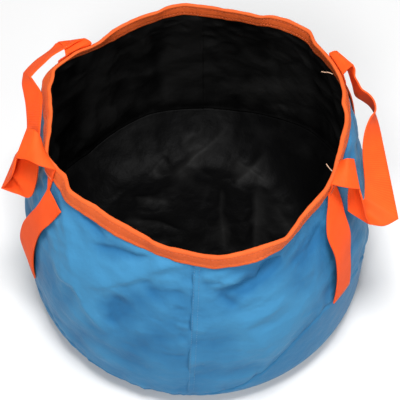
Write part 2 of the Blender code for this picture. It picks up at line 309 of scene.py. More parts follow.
# Folds of the lining's wall that the photograph shows, from the left to the right of the back
LINING_FOLDS: tuple[Fold, ...] = (
    Fold(((166, 185), (160, 70)), 3.0, (12.0, 5.0), 1.5),
    Fold(((152, 190), (148, 60)), 3.2, (5.0, 14.0), 1.5),
    Fold(((140, 195), (133, 90), (135, 50)), 3.4, (12.0, 5.0), 1.2),
    Fold(((126, 196), (119, 150), (112, 110)), 3.4, (10.0, 4.0), 1.0),
    Fold(((121, 196), (112, 165), (108, 130)), -2.4, (4.0, 6.0), 1.0),
    Fold(((108, 195), (104, 60)), 2.6, (4.0, 14.0), 1.5),
    Fold(((99, 190), (93, 170)), 2.0, (4.0, 4.0), 0.8),
    Fold(((104, 178), (95, 186)), -1.8, (3.0, 4.0), 0.8),
    Fold(((84, 180), (74, 186), (66, 178)), 2.2, (4.0, 8.0), 1.0),
    Fold(((60, 190), (57, 90)), 2.6, (10.0, 5.0), 1.5),
    Fold(((40, 190), (34, 60)), 3.0, (6.0, 14.0), 1.5),
    Fold(((20, 188), (25, 80)), 2.6, (10.0, 6.0), 1.5),
    Fold(((2, 185), (8, 70)), 2.6, (8.0, 8.0), 1.5),
)


@dataclass(frozen=True)
class CreaseWave:
    """Straight creases side by side, with flat cloth between them, that come and go."""

    way: float  # degrees from level, of the creases' own direction
    pitch: float  # metres from ridge to ridge
    high: float  # metres from the middle to a ridge
    band: Spot  # the heights above the floor between which it is strongest
    seed: float
    sharp: float = 0.985  # 1 is a triangle wave, less is rounder
    bend: float = 0.45  # how far a crease strays, in pitches
    strays: float = 0.35  # waves of that straying in a pitch
    patches: float = 0.30  # patches with and without creases in a pitch
    shown: Spot = (0.45, 1.3)  # how much shows on the middle, and how much more in a patch
    ease: float = 0.02  # metres over which the band's edges die out

    def lift(self, along: Array, height: Array) -> Array:
        """Gives how far the creases move the cloth.

        Args:
            along: metres along the body.
            height: metres above the floor.

        Returns:
            The lift in metres.
        """
        turn = math.radians(self.way)
        flat = np.stack([along, height, 0.0 * along], axis=1)
        warp = self.bend * self.pitch * soft_noise(flat, self.strays / self.pitch, 1, self.seed)
        across = height * math.cos(turn) - along * math.sin(turn) + warp
        wave = 2.0 / math.pi * np.arcsin(self.sharp * np.sin(2.0 * math.pi / self.pitch * across
                                                             + self.seed))
        patch = soft_noise(flat, self.patches / self.pitch, 1, self.seed + 3.0)
        shown = smooth(self.shown[0] + self.shown[1] * patch)
        middle, half = 0.5 * sum(self.band), 0.5 * (self.band[1] - self.band[0])
        near = smooth(1.0 + (half - np.abs(height - middle)) / self.ease)
        return self.high * wave * shown * near


OUTER_WAVES: tuple[CreaseWave, ...] = (
    CreaseWave(22.0, 0.0130, 0.00075, (0.158, 0.197), 1.0, 0.95),
    CreaseWave(-24.0, 0.0170, 0.00080, (0.150, 0.197), 2.0, 0.95),
    CreaseWave(8.0, 0.0240, 0.00090, (0.120, 0.197), 3.0),
    CreaseWave(64.0, 0.0400, 0.00120, (0.030, 0.150), 4.0),
    CreaseWave(-58.0, 0.0520, 0.00150, (0.030, 0.160), 5.0),
    CreaseWave(15.0, 0.0460, 0.00130, (0.030, 0.130), 6.0),
    CreaseWave(-12.0, 0.0310, 0.00070, (0.040, 0.120), 7.0),
)
LINING_WAVES: tuple[CreaseWave, ...] = (
    CreaseWave(84.0, 0.0300, 0.0012, (0.040, 0.200), 11.0),
    CreaseWave(-80.0, 0.0470, 0.0019, (0.040, 0.200), 12.0),
    CreaseWave(24.0, 0.0260, 0.0009, (0.090, 0.200), 13.0),
    CreaseWave(-30.0, 0.0360, 0.0011, (0.050, 0.200), 14.0),
)


def seeded_folds(seed: int, count: int, span: Spot, heights: Spot, high: Spot) -> tuple[Fold, ...]:
    """Makes folds for the sides that the photograph doesn't show.

    Args:
        seed: the same seed gives the same folds.
        count: how many folds.
        span: the angles between which they start, in degrees.
        heights: the heights between which they start, in millimetres.
        high: the least and the most height of a fold, in millimetres.

    Returns:
        The folds.
    """
    draw = np.random.RandomState(seed)
    folds = []
    for _ in range(count):
        at, up = draw.uniform(*span), draw.uniform(*heights)
        way = draw.uniform(-1.2, 1.2) + (math.pi / 2 if draw.rand() < 0.55 else 0.0)
        length = draw.uniform(18.0, 60.0)
        bend = draw.uniform(-0.35, 0.35)
        half = (at + 0.5 * length * math.cos(way) / MM_A_DEGREE,
                up + 0.5 * length * math.sin(way))
        tip = (half[0] + 0.5 * length * math.cos(way + bend) / MM_A_DEGREE,
               half[1] + 0.5 * length * math.sin(way + bend))
        lift = draw.uniform(*high) * (1.0 if draw.rand() < 0.5 else -1.0)
        wide = (draw.uniform(4.0, 16.0), draw.uniform(4.0, 16.0))
        folds.append(Fold(((at, up), half, tip), lift, wide, draw.uniform(0.8, 2.5)))
    return tuple(folds)


@dataclass(frozen=True)
class Body:
    """The form of the open basin: every layer is this surface, moved out or in."""

    high: float  # the rim's height
    tape_drop: float = 0.0134  # how far the tape reaches below the rim
    back: float = 0.008  # how far the rim sits behind the base's middle
    flat: float = 0.138  # the radius of the flat base
    edge: Spot = (0.0205, 0.030)  # the rounded edge under the wall, wide and high
    belly: float = 0.158  # the widest radius, and its height
    belly_high: float = 0.075
    rim: float = 0.1285  # the rim's middle radius
    lean: float = 1.7  # the power by which the wall draws in to the rim
    # waves round the body: how many, their height and a crest's angle
    waves: tuple[tuple[int, float, float], ...] = (
        (1, 0.0019, -10.0), (3, 0.0062, 46.0), (4, 0.0026, 9.0), (6, 0.0026, -19.0),
        (7, 0.0019, 0.0), (8, 0.0009, 21.0))
    seam_line: Spot = (-91.0, -93.4)  # the front seam's angle at the rim and at the base
    back_seam: float = 87.5  # the back seam's angle
    wave_rise: int = 2  # the powers by which the waves and the rim's outline come in
    outline_rise: int = 6
    pull: Spot = (0.148, 0.045)  # the height where the foot's pull starts, and over how much
    lean_from: float = 0.038  # the height from which the form leans back

    def base_seam(self, angle: Array) -> Array:
        """Gives the height of the seam between base and wall at angles in radians."""
        return round_table(BASE_SEAM, angle) * MM

    def front_seam(self, height: Array) -> Array:
        """Gives the front seam's angle in radians at heights."""
        share = np.clip(height / self.high, 0.0, 1.0)
        return np.radians(self.seam_line[1] + (self.seam_line[0] - self.seam_line[1]) * share)

    def radius(self, angle: Array, height: Array) -> Array:
        """Gives the outer face's radius without folds.

        Args:
            angle: angles in radians.
            height: heights in metres.

        Returns:
            Radii about the form's own axis.
        """
        lift = np.clip((height - self.belly_high) / (self.high - self.belly_high), 0.0, 1.0)
        waves = sum(h * np.cos(n * (angle - math.radians(at))) for n, h, at in self.waves)
        shown = round_table(RIM_OUTLINE, angle) * MM - self.rim - waves
        upper = (self.belly - (self.belly - self.rim) * lift ** self.lean
                 + waves * lift ** self.wave_rise + shown * lift ** self.outline_rise)
        start, over = self.pull
        pulled = smooth((self.high - height) / self.tape_drop) * smooth((height - start) / over)
        upper = upper - round_table(FOOT_PULL, angle) * MM * pulled
        wide, tall = self.edge
        down = np.clip((tall - height) / tall, 0.0, 1.0)
        lower = self.flat + wide * np.sqrt(1.0 - down ** 2)
        share = smooth((height - tall) / (self.belly_high - tall))
        return np.where(height < self.belly_high, lower + (self.belly - lower) * share, upper)

    def point(self, angle: Array, height: Array, out: Array | float = 0.0) -> Array:
        """Gives points of the form.

        Args:
            angle: angles in radians.
            height: heights in metres.
            out: how far outside the outer face.

        Returns:
            One row for each point.
        """
        r = self.radius(angle, height) + out
        away = self.back * smooth((height - self.lean_from) / (self.high - self.lean_from))
        return np.stack([r * np.cos(angle), away + r * np.sin(angle), height + 0.0 * r], axis=1)


@dataclass(frozen=True)
class Creases:
    """How one cloth of the wall is folded and crumpled."""

    folds: tuple[Fold, ...]
    waves: tuple[CreaseWave, ...]
    seed: float
    swell: float  # the height of the wide, soft swells
    ripple: float  # the height of the small ripples
    calm: tuple[Spot, ...] = ()  # degrees and the share of the waves that shows there
    swells: float = 15.0  # swells in a metre
    ripples: float = 85.0  # ripples in a metre
    at_seam: float = 0.020  # metres over which the cloth comes free of the base seam
    at_tape: float = 0.012  # the same at the tape, from a little behind its foot
    behind_tape: float = 0.005
    held: float = 0.05  # the share that stays where it is sewn

    def lift(self, body: Body, angle: Array, height: Array) -> Array:
        """Gives how far the cloth stands out.

        Args:
            body: the form under it.
            angle: angles in radians.
            height: heights in metres.

        Returns:
            The lift in metres, next to nothing behind the tape and at the base seam.
        """
        points = body.point(angle, height)
        lift = self.swell * soft_noise(points, self.swells, 2, self.seed)
        lift = lift + self.ripple * soft_noise(points, self.ripples, 2, self.seed + 9.0)
        loose = round_table(self.calm, angle) if self.calm else 1.0
        lift = lift + loose * sum(w.lift(angle * body.belly, height) for w in self.waves)
        lift = lift + sum(fold.lift(angle, height) for fold in self.folds)
        seam = body.base_seam(angle)
        top = body.high - body.tape_drop
        free = (smooth((height - seam) / self.at_seam)
                * smooth((top + self.behind_tape - height) / self.at_tape))
        return lift * (self.held + (1.0 - self.held) * free)


@dataclass(frozen=True)
class Puckers:
    """The gathered cloth along a seam."""

    deep: float = 0.0010  # the seam's groove, deep and wide
    wide: float = 0.0022
    high: float = 0.0022  # the gathers beside it, high and how far they reach
    reach: float = 0.007
    seed: float = 3.0
    gathers: float = 110.0  # gathers in a metre
    clear: float = 0.003  # metres from the seam at which they are full

    def lift(self, along: Array, across: Array) -> Array:
        """Gives how a seam moves the cloth beside it.

        Args:
            along: metres along the seam.
            across: metres away from it.

        Returns:
            The lift in metres; the seam itself is a groove.
        """
        groove = -self.deep * np.exp(-(across / self.wide) ** 2)
        row = np.stack([along, 0.0 * along, 0.15 * np.abs(across)], axis=1)
        gather = soft_noise(row, self.gathers, 2, self.seed)
        fade = np.exp(-np.abs(across) / self.reach) * smooth(np.abs(across) / self.clear)
        return groove + self.high * gather * fade


def object_of(name: str, mesh: bpy.types.Mesh) -> bpy.types.Object:
    """Puts a mesh into the scene.

    Args:
        name: the piece's name.
        mesh: its mesh.

    Returns:
        The new object at the origin.
    """
    piece = bpy.data.objects.new(name, mesh)
    bpy.context.scene.collection.objects.link(piece)
    return piece


def baked(piece: bpy.types.Object) -> bpy.types.Object:
    """Applies a piece's modifiers.

    Args:
        piece: the piece.

    Returns:
        The same piece with its shape in its mesh.
    """
    graph = bpy.context.evaluated_depsgraph_get()
    mesh = bpy.data.meshes.new_from_object(piece.evaluated_get(graph))
    piece.modifiers.clear()
    piece.data = mesh
    mesh.name = piece.name
    return piece


def grid_sheet(name: str, cells: tuple[int, int], size: Spot, place: Place,
               crest: Place | None = None, merge: bool = False) -> bpy.types.Object:
    """Makes a sheet from a grid that is moved onto a surface.

    Args:
        name: the piece's name.
        cells: how many cells along and across.
        size: the sheet's cut size in metres, for its cloth map.
        place: gives points for shares along and across.
        crest: gives how far each place stands out, for the finish's painted highlight and painted
            shade.
        merge: closes the ends and poles that meet.

    Returns:
        The piece, its faces towards the left of "along then across".
    """
    shape = bmesh.new()
    layer = shape.loops.layers.uv.new(CLOTH_MAP)
    bmesh.ops.create_grid(shape, x_segments=cells[0], y_segments=cells[1], size=0.5,
                          calc_uvs=True)
    for face in shape.faces:
        face.smooth = True
        for loop in face.loops:
            loop[layer].uv = ((loop.vert.co.x + 0.5) * size[0], (loop.vert.co.y + 0.5) * size[1])
    mesh = bpy.data.meshes.new(name)
    shape.to_mesh(mesh)
    shape.free()
    flat = np.empty(len(mesh.vertices) * 3)
    mesh.vertices.foreach_get("co", flat)
    along, across = flat[0::3] + 0.5, flat[1::3] + 0.5
    mesh.vertices.foreach_set("co", place(along, across).ravel())
    high = crest(along, across) if crest else np.zeros(len(along))
    mesh.attributes.new(CREST, "FLOAT", "POINT").data.foreach_set("value", high)
    mesh.update()
    if merge:
        shape = bmesh.new()
        shape.from_mesh(mesh)
        bmesh.ops.remove_doubles(shape, verts=shape.verts, dist=1e-6)
        shape.to_mesh(mesh)
        shape.free()
    return object_of(name, mesh)


def thicken(piece: bpy.types.Object, thickness: float, offset: float = -1.0,
            rounded: float = 0.0) -> bpy.types.Object:
    """Gives a sheet its thickness.

    Args:
        piece: the sheet.
        thickness: in metres.
        offset: -1 grows it inwards from its faces, 0 both ways.
        rounded: the width of its rounded edges.

    Returns:
        The same piece, with its modifiers applied.
    """
    shell = piece.modifiers.new("thickness", "SOLIDIFY")
    shell.thickness, shell.offset = thickness, offset
    if rounded:
        edge = piece.modifiers.new("edge", "BEVEL")
        edge.width, edge.segments, edge.limit_method = rounded, 2, "ANGLE"
        edge.angle_limit = math.radians(50.0)
    return baked(piece)


class Nodes:
    """Short calls for a material's nodes."""

    def __init__(self, name: str, roughness: float) -> None:
        """Starts a material with one shader.

        Args:
            name: the material's name.
            roughness: the shader's own roughness.
        """
        self.material = bpy.data.materials.new(name)
        self.material.use_nodes = True
        self.tree = self.material.node_tree
        self.shader = self.tree.nodes["Principled BSDF"]
        self.shader.inputs["Roughness"].default_value = roughness

    def add(self, kind: str, inputs: dict[str | int, object] | None = None,
            **settings: object) -> bpy.types.Node:
        """Adds a node.

        Args:
            kind: the node's type without its prefix.
            inputs: sockets or values for its inputs.
            settings: the node's own settings.

        Returns:
            The node.
        """
        node = self.tree.nodes.new("ShaderNode" + kind)
        for key, value in settings.items():
            setattr(node, key, value)
        for key, value in (inputs or {}).items():
            if isinstance(value, bpy.types.NodeSocket):
                self.tree.links.new(value, node.inputs[key])
            else:
                node.inputs[key].default_value = value
        return node

    def maths(self, operation: str, *values: object) -> bpy.types.NodeSocket:
        """Adds a sum and gives its result."""
        return self.add("Math", dict(enumerate(values)), operation=operation).outputs[0]

    def to_shader(self, name: str, socket: bpy.types.NodeSocket) -> None:
        """Joins a socket to one of the shader's inputs."""
        self.tree.links.new(socket, self.shader.inputs[name])

    def object_noise(self, scale: float, detail: float) -> bpy.types.NodeSocket:
        """Adds noise in the piece's own coordinates and gives its value."""
        where = self.add("TexCoord").outputs["Object"]
        return self.add("TexNoise", {"Vector": where, "Scale": scale, "Detail": detail}
                        ).outputs["Fac"]

    def ribs(self, axis: str, pitch: float) -> bpy.types.NodeSocket:
        """Adds a sine along the cloth map and gives its value from 0 to 1."""
        cloth = self.add("UVMap", uv_map=CLOTH_MAP).outputs["UV"]
        split = self.add("SeparateXYZ", {"Vector": cloth}).outputs[axis]
        wave = self.maths("SINE", self.maths("MULTIPLY", split, 2.0 * math.pi / pitch))
        return self.maths("MULTIPLY_ADD", wave, 0.5, 0.5)

    def bump(self, height: bpy.types.NodeSocket, distance: float, strength: float = 1.0,
             under: bpy.types.NodeSocket | None = None) -> bpy.types.NodeSocket:
        """Adds a bump.

        Args:
            height: the height from 0 to 1.
            distance: the height of 1 in metres.
            strength: its share.
            under: the normal that it starts from.

        Returns:
            The new normal.
        """
        inputs = {"Height": height, "Distance": distance, "Strength": strength}
        if under:
            inputs["Normal"] = under
        return self.add("Bump", inputs).outputs["Normal"]

    def mixed(self, share: bpy.types.NodeSocket, low: Colour, high: Colour,
              span: Spot = (0.0, 1.0)) -> bpy.types.NodeSocket:
        """Adds a colour ramp and gives its colour.

        Args:
            share: the value that picks the colour.
            low: the colour at the span's start.
            high: the colour at its end.
            span: the values between which the colour changes.

        Returns:
            The colour.
        """
        ramp = self.add("ValToRGB", {"Fac": share})
        for stop, colour, place in zip(ramp.color_ramp.elements, (low, high), span):
            stop.color, stop.position = (*colour, 1.0), place
        return ramp.outputs["Color"]


@dataclass(frozen=True)
class CoatedCloth:
    """Thin woven cloth with a smooth coating, with painted highlight and painted shade that follow
    its folds.
    """

    name: str
    low: Colour
    high: Colour
    roughness: float
    crumple: float  # the height of the fine crumples in metres
    painted_fold_shading: float  # how strongly a fold's crest is painted lighter and its hollow darker, as painted highlight and painted shade, for each metre
    specular: float = 0.03
    pitch: float = 0.0008  # metres from thread to thread
    weave: float = 0.00003
    creased: float = 0.0012  # the height of the wider creases

    def material(self) -> bpy.types.Material:
        """Builds the finish."""
        nodes = Nodes(self.name, self.roughness)
        nodes.shader.inputs["Specular IOR Level"].default_value = self.specular
        # Painted highlight and painted shade: what stands out is painted lighter, and hollows and
        # creases darker, in place of light and shade on the folds.
        crest = nodes.add("Attribute", attribute_name=CREST).outputs["Fac"]
        painted_fold_light = nodes.maths("MULTIPLY_ADD", crest, self.painted_fold_shading, 0.38)
        mottle = nodes.maths("MULTIPLY_ADD", nodes.object_noise(38.0, 5.0), 0.6, -0.18)
        shade = nodes.maths("ADD", painted_fold_light, mottle)
        nodes.to_shader("Base Color", nodes.mixed(shade, self.low, self.high, (0.15, 0.85)))
        warp, weft = nodes.ribs("X", self.pitch), nodes.ribs("Y", self.pitch)
        checks = nodes.maths("MULTIPLY", warp, weft)
        where = nodes.add("TexCoord").outputs["Object"]
        ridges = nodes.add("TexNoise", {"Vector": where, "Scale": 24.0, "Detail": 2.0,
                                        "Roughness": 0.4, "Distortion": 0.6},
                           noise_type="RIDGED_MULTIFRACTAL").outputs["Fac"]
        creased = nodes.bump(ridges, self.creased)
        soft = nodes.bump(nodes.object_noise(85.0, 4.0), self.crumple, 1.0, creased)
        nodes.to_shader("Normal", nodes.bump(checks, self.weave, 0.6, soft))
        return nodes.material


@dataclass(frozen=True)
class WovenStrap:
    """Webbing or tape: ribs across it and a soft fuzz."""

    name: str
    low: Colour
    high: Colour
    roughness: float = 0.72
    specular: float = 0.20
    sheen: float = 0.06
    pitch: float = 0.0011
    rib: float = 0.00012

    def material(self) -> bpy.types.Material:
        """Builds the finish."""
        nodes = Nodes(self.name, self.roughness)
        nodes.shader.inputs["Specular IOR Level"].default_value = self.specular
        nodes.shader.inputs["Sheen Weight"].default_value = self.sheen
        nodes.shader.inputs["Sheen Tint"].default_value = (*self.high, 1.0)
        across, along = nodes.ribs("Y", self.pitch), nodes.ribs("X", 0.8 * self.pitch)
        grain = nodes.object_noise(420.0, 4.0)
        shade = nodes.maths("ADD", nodes.maths("MULTIPLY", across, 0.30),
                            nodes.maths("MULTIPLY", nodes.object_noise(60.0, 4.0), 0.70))
        nodes.to_shader("Base Color", nodes.mixed(shade, self.low, self.high, (0.2, 0.8)))
        fuzz = nodes.bump(grain, 0.00015, 0.6)
        cells = nodes.maths("ADD", across, nodes.maths("MULTIPLY", along, 0.5))
        nodes.to_shader("Normal", nodes.bump(cells, self.rib, 0.7, fuzz))
        return nodes.material


@dataclass(frozen=True)
class Twine:
    """Sewing thread."""

    name: str
    low: Colour
    high: Colour

    def material(self) -> bpy.types.Material:
        """Builds the finish."""
        nodes = Nodes(self.name, 0.55)
        nodes.shader.inputs["Sheen Weight"].default_value = 0.2
        twist = nodes.object_noise(900.0, 3.0)
        nodes.to_shader("Base Color", nodes.mixed(twist, self.low, self.high, (0.3, 0.7)))
        nodes.to_shader("Normal", nodes.bump(twist, 0.0001))
        return nodes.material


@dataclass(frozen=True)
class Finishes:
    """The object's materials, made once."""

    outer: bpy.types.Material
    lining: bpy.types.Material
    tape: bpy.types.Material
    webbing: bpy.types.Material
    thread: bpy.types.Material
    seam_thread: bpy.types.Material
    pale_thread: bpy.types.Material

    @classmethod
    def make(cls) -> "Finishes":
        """Makes every material of the object."""
        return cls(
            CoatedCloth("blue_coated_cloth", (0.023, 0.126, 0.278), (0.051, 0.220, 0.408),
                        roughness=0.38, crumple=0.0012, painted_fold_shading=230.0).material(),
            CoatedCloth("black_coated_cloth", (0.0022, 0.0022, 0.0023), (0.0125, 0.0124, 0.0122),
                        roughness=0.46, crumple=0.0010, painted_fold_shading=210.0).material(),
            WovenStrap("orange_tape", (0.57, 0.082, 0.014), (0.72, 0.121, 0.024)).material(),
            WovenStrap("orange_webbing", (0.78, 0.066, 0.006), (0.92, 0.100, 0.010)).material(),
            Twine("orange_thread", (0.50, 0.07, 0.014), (0.75, 0.14, 0.03)).material(),
            Twine("blue_thread", (0.02, 0.10, 0.23), (0.05, 0.19, 0.37)).material(),
            Twine("pale_thread", (0.45, 0.25, 0.15), (0.75, 0.50, 0.34)).material(),
        )


def dress(piece: bpy.types.Object, material: bpy.types.Material, slot: Slot,
          *nodes: str) -> bpy.types.Object:
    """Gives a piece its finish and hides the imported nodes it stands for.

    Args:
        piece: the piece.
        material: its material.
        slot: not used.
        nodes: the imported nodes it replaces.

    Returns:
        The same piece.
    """
    piece.data.materials.clear()
    piece.data.materials.append(material)
    if nodes:
        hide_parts(*nodes)
    LOG.info("%s: %d faces", piece.name, len(piece.data.polygons))
    return piece


def sew_to_wall(piece: bpy.types.Object, body: Body) -> bpy.types.Object:
    """Bakes a piece's place into its mesh.

    Args:
        piece: the piece.
        body: not used.

    Returns:
        The same piece.
    """
    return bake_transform(piece)


@dataclass(frozen=True)
class Stitching:
    """Rows of small stitches that lie on a surface."""

    thick: float = 0.00050  # the thread
    pitch: float = 0.0032  # metres from stitch to stitch
    gap: float = 0.0008  # the cloth that shows between two

    def along(self, name: str, lines: Sequence[tuple[Array, Array]]) -> bpy.types.Object:
        """Lays stitches along lines.

        Args:
            name: the piece's name.
            lines: for each line its points and the surface's outward directions there.

        Returns:
            The piece.
        """
        shape = bmesh.new()
        for points, outward in lines:
            steps = np.linalg.norm(np.diff(points, axis=0), axis=1)
            run = np.concatenate([[0.0], np.cumsum(steps)])
            for i in range(int(run[-1] / self.pitch)):
                ends = [(i + 0.5) * self.pitch + k * 0.5 * (self.pitch - self.gap)
                        for k in (-1, 1)]
                a, b = (Vector([np.interp(e, run, points[:, k]) for k in range(3)])
                        for e in ends)
                up = Vector([np.interp(0.5 * sum(ends), run, outward[:, k]) for k in range(3)])
                self.stitch(shape, a, b, up)
        mesh = bpy.data.meshes.new(name)
        shape.to_mesh(mesh)
        shape.free()
        mesh.shade_smooth()
        return object_of(name, mesh)

    def stitch(self, shape: bmesh.types.BMesh, a: Vector, b: Vector, up: Vector) -> None:
        """Adds one stitch from a to b on a surface that faces up."""
        ahead = (b - a).normalized()
        side = up.cross(ahead).normalized()
        up = ahead.cross(side).normalized()
        scale = Matrix.Diagonal((0.5 * (b - a).length, 0.5 * self.thick, 0.35 * self.thick, 1.0))
        turn = Matrix((ahead, side, up)).transposed().to_4x4()
        place = Matrix.Translation(0.5 * (a + b) + up * 0.2 * self.thick) @ turn @ scale
        bmesh.ops.create_icosphere(shape, subdivisions=1, radius=1.0, matrix=place)


@dataclass(frozen=True)
class Shell:
    """The blue outside: two wall panels and the base, lapped and sewn to each other."""

    body: Body
    creases: Creases
    puckers: Puckers = Puckers()
    side_puckers: Puckers = Puckers(deep=0.0006, wide=0.0016, high=0.0007, reach=0.008, seed=8.0)
    cloth: float = 0.00035
    lap: float = 0.0005  # how much a panel's lapped edge stands out, and over what width
    lap_wide: float = 0.010
    under: float = 0.0060  # how far a panel runs under the next one
    tuck: float = 0.984  # the share of a panel that shows; the rest runs under the next one
    cells: tuple[int, int] = (300, 120)
    panel: Spot = (0.485, 0.175)
    base_cut: float = 0.385
    turn_up: float = 0.003  # how far the base runs up behind the walls
    tall: float = 0.19  # about the wall's height along the cloth
    flat_share: float = 0.42  # the share of the base's reach that lies flat
    seam_rows: Spot = (0.0013, 0.0056)  # how far beside a seam its stitched rows run
    seam_steps: int = 240
    seam_foot: float = 0.032  # the height from which the rows are laid
    seam_clear: float = 0.001  # how far they stay off the tape and the base seam
    above_seam: float = 0.0003  # where a wall panel ends over the base seam and under the rim
    below_rim: float = 0.002
    slip: float = 3.0  # how soon a panel's last edge is under the next panel
    base_round: float = 1.6  # the power by which the base's edge rises
    behind: Spot = (0.0002, 0.0012)  # how far the base goes behind a wall, and over what height
    seam_ease: float = 0.01  # the height over the base seam where side seams are full

    def lift(self, angle: Array, height: Array) -> Array:
        """Gives how far the cloth stands out of the form at angles and heights."""
        body = self.body
        seam = body.base_seam(angle)
        lift = self.creases.lift(body, angle, height)
        lift = lift + self.puckers.lift(angle * body.belly, height - seam)
        for line, seed in ((body.front_seam(height), 0.0), (math.radians(body.back_seam), 1.0)):
            turned = (angle - line + math.pi) % (2 * math.pi) - math.pi
            across = turned * body.belly
            lift = lift + (self.side_puckers.lift(height + seed, across)
                           * smooth((height - seam) / self.seam_ease))
            lapped = np.where(across > 0.0, np.exp(-np.abs(across) / self.lap_wide), 0.0)
            lift = lift + self.lap * lapped
        return lift

    def face(self, angle: Array, height: Array, out: float = 0.0) -> Array:
        """Gives points of the cloth's outer face, or out from it."""
        return self.body.point(angle, height, self.lift(angle, height) + out)

    def wall(self, side: Side, finishes: Finishes) -> bpy.types.Object:
        """Makes one wall panel.

        Args:
            side: which half.
            finishes: the materials.

        Returns:
            The panel.
        """
        body = self.body
        back = math.radians(body.back_seam)
        under = self.under / body.belly

        def angle_and_height(u: Array, v: Array) -> tuple[Array, Array]:
            """Gives the angles and heights for shares along and up the panel."""
            front = body.front_seam(self.tall * v)
            start, end = ((front, back) if side is Side.RIGHT
                          else (back, front + 2.0 * math.pi))
            angle = start + (end - start) * np.minimum(u / self.tuck, 1.0)
            angle = angle + under * np.maximum(u - self.tuck, 0.0) / (1.0 - self.tuck)
            low = body.base_seam(angle) + self.above_seam
            return angle, low + (body.high - self.below_rim - low) * v

        def place(u: Array, v: Array) -> Array:
            """Gives the panel's points; its last edge runs under the next panel."""
            angle, height = angle_and_height(u, v)
            beyond = np.clip((u - self.tuck) / (1.0 - self.tuck), 0.0, 1.0)
            return self.body.point(angle, height, self.lift(angle, height)
                                   - (self.lap + self.cloth) * smooth(self.slip * beyond))

        # The crest attribute is the cloth's lift, which the finish paints as painted highlight on
        # ridges and painted shade in valleys.
        piece = grid_sheet(f"outer_wall_{side.value}_cloth", self.cells, self.panel, place,
                           lambda u, v: self.lift(*angle_and_height(u, v)))
        thicken(piece, self.cloth)
        dress(piece, finishes.outer, Slot.OUTER, f"outer_wall_{side.value}")
        return sew_to_wall(piece, body)

    def base(self, finishes: Finishes) -> bpy.types.Object:
        """Makes the base, a disc that rolls up to the wavy seam."""
        body, flat_share = self.body, self.flat_share

        def place(u: Array, v: Array) -> Array:
            """Gives the base's points from its middle to its seam."""
            angle = body.front_seam(0.0) + 2.0 * math.pi * np.mod(u, 1.0)
            risen = np.clip((v - flat_share) / (1.0 - flat_share), 0.0, 1.0)
            seam = body.base_seam(angle)
            height = (seam + self.turn_up) * risen ** self.base_round
            deep, over = self.behind
            back = (self.cloth + deep) * smooth((height - seam + over) / over)
            points = self.face(angle, height, -back)
            points = points * np.clip(v / flat_share, 0.0, 1.0)[:, None]
            points[:, 2] = np.where(v <= flat_share, 0.0, height)
            return points

        size = (2.0 * math.pi * body.belly, self.tall)
        piece = grid_sheet("outer_base_cloth", (360, 90), size, place, merge=True)
        thicken(piece, self.cloth)
        dress(piece, finishes.outer, Slot.OUTER, "outer_base")
        return sew_to_wall(piece, body)

    def stitches(self, finishes: Finishes) -> bpy.types.Object:
        """Makes the two stitched rows of the front and back seams."""
        body = self.body
        lines = []
        top = body.high - body.tape_drop - self.seam_clear
        height = np.linspace(self.seam_foot, top, self.seam_steps)
        back = np.full(self.seam_steps, math.radians(body.back_seam))
        for line in (body.front_seam(height), back):
            for off in self.seam_rows:
                angle = line + off / body.belly
                here = height > body.base_seam(angle) + self.seam_clear
                a, h = angle[here], height[here]
                outward = np.stack([np.cos(a), np.sin(a), 0.15 + 0.0 * a], axis=1)
                lines.append((self.face(a, h), outward))
        piece = Stitching(thick=0.00045, pitch=0.0030).along("seam_stitches", lines)
        dress(piece, finishes.seam_thread, Slot.THREAD)
        return sew_to_wall(piece, body)


